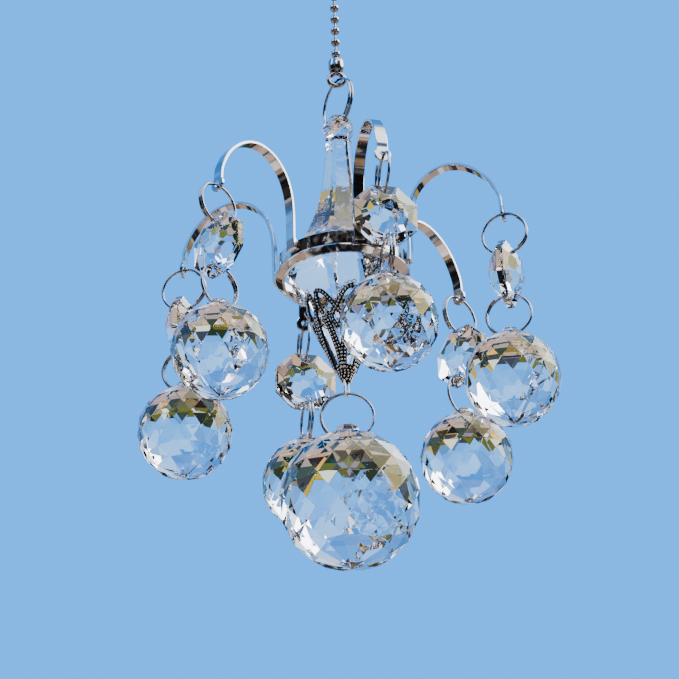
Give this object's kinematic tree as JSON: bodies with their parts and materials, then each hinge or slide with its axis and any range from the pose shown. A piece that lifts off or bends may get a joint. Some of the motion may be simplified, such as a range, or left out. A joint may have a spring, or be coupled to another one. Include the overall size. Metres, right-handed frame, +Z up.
{
  "type": "crystal suncatcher",
  "caption": "Hanging suncatcher: a tall faceted crystal in a metal band with curled arms, each carrying a strand of octagon bead and faceted ball, over a larger ball.",
  "frame": {"origin": "where a hook bears, inside the top of the hanging ring", "axes": "+Z up along the hanging line, the chain above and the largest ball below; -Y is the side seen first"},
  "size_m": [0.0928, 0.093, 0.1669],
  "materials": {
    "crystal": "polished, faceted, clear",
    "chrome": "polished wire",
    "gunmetal": "polished dark plating",
    "antique_silver": "oxidised in the hollows, bright on the beads"
  },
  "bodies": {
    "root": {"hanging_ring": "chrome", "upper_coupling": "chrome", "ball_chain": "chrome", "lower_coupling": "chrome", "finial_ring": "chrome", "centre_crystal": "crystal", "band": "gunmetal", "filigree_cap": "antique_silver", "bottom_ring": "chrome", "bottom_ball": "crystal", "arm_1": "gunmetal", "upper_ring_1": "chrome", "octagon_bead_1": "crystal", "lower_ring_1": "chrome", "strand_ball_1": "crystal", "arm_2": "gunmetal", "upper_ring_2": "chrome", "octagon_bead_2": "crystal", "lower_ring_2": "chrome", "strand_ball_2": "crystal", "arm_3": "gunmetal", "upper_ring_3": "chrome", "octagon_bead_3": "crystal", "lower_ring_3": "chrome", "strand_ball_3": "crystal", "arm_4": "gunmetal", "upper_ring_4": "chrome", "octagon_bead_4": "crystal", "lower_ring_4": "chrome", "strand_ball_4": "crystal", "arm_5": "gunmetal", "upper_ring_5": "chrome", "octagon_bead_5": "crystal", "lower_ring_5": "chrome", "strand_ball_5": "crystal", "arm_6": "gunmetal", "upper_ring_6": "chrome", "octagon_bead_6": "crystal", "lower_ring_6": "chrome", "strand_ball_6": "crystal"}
  },
  "joints": []
}
